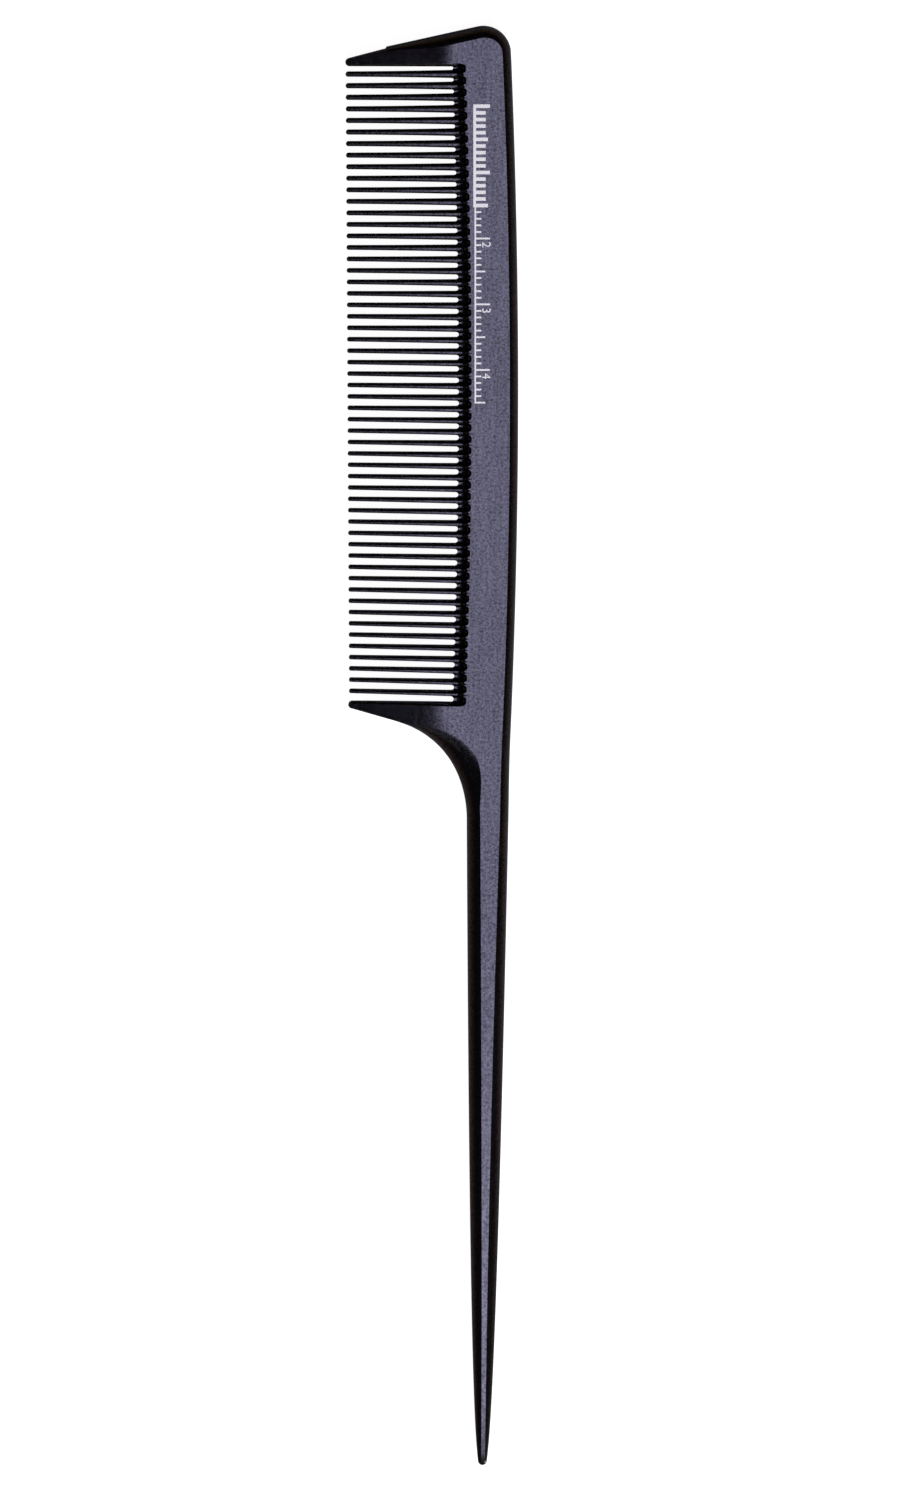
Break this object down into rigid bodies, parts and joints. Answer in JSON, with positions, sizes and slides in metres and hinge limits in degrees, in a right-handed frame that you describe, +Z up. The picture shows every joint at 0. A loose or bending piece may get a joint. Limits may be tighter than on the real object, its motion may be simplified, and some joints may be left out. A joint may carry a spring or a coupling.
{
  "type": "rat tail comb",
  "caption": "Tail comb for parting and sectioning hair: a slim bowed spine with fine straight teeth between two guard teeth, and a long handle that tapers to a blunt point",
  "frame": {"origin": "Middle of the comb's box seen from above, on the surface that it lies on", "axes": "+Y runs along the comb from the tail tip to the head, -X is the way the teeth point, +X is the back, +Z is up out of the printed face"},
  "size_m": [0.0268, 0.2249, 0.004],
  "materials": {
    "moulding": "satin black carbon-filled resin with a fine grain, a little glossier on worn edges",
    "print": "thin white printed scale on the upper face of the spine"
  },
  "bodies": {
    "root": {"spine": "moulding", "shoulder": "moulding", "tail": "moulding", "head_guard": "moulding", "heel_guard": "moulding", "tooth_01": "moulding", "tooth_02": "moulding", "tooth_03": "moulding", "tooth_04": "moulding", "tooth_05": "moulding", "tooth_06": "moulding", "tooth_07": "moulding", "tooth_08": "moulding", "tooth_09": "moulding", "tooth_10": "moulding", "tooth_11": "moulding", "tooth_12": "moulding", "tooth_13": "moulding", "tooth_14": "moulding", "tooth_15": "moulding", "tooth_16": "moulding", "tooth_17": "moulding", "tooth_18": "moulding", "tooth_19": "moulding", "tooth_20": "moulding", "tooth_21": "moulding", "tooth_22": "moulding", "tooth_23": "moulding", "tooth_24": "moulding", "tooth_25": "moulding", "tooth_26": "moulding", "tooth_27": "moulding", "tooth_28": "moulding", "tooth_29": "moulding", "tooth_30": "moulding", "tooth_31": "moulding", "tooth_32": "moulding", "tooth_33": "moulding", "tooth_34": "moulding", "tooth_35": "moulding", "tooth_36": "moulding", "tooth_37": "moulding", "tooth_38": "moulding", "tooth_39": "moulding", "tooth_40": "moulding", "tooth_41": "moulding", "tooth_42": "moulding", "tooth_43": "moulding", "tooth_44": "moulding", "tooth_45": "moulding", "tooth_46": "moulding", "tooth_47": "moulding", "tooth_48": "moulding", "tooth_49": "moulding", "tooth_50": "moulding", "tooth_51": "moulding", "tooth_52": "moulding", "tooth_53": "moulding", "tooth_54": "moulding", "tooth_55": "moulding"}
  },
  "joints": []
}
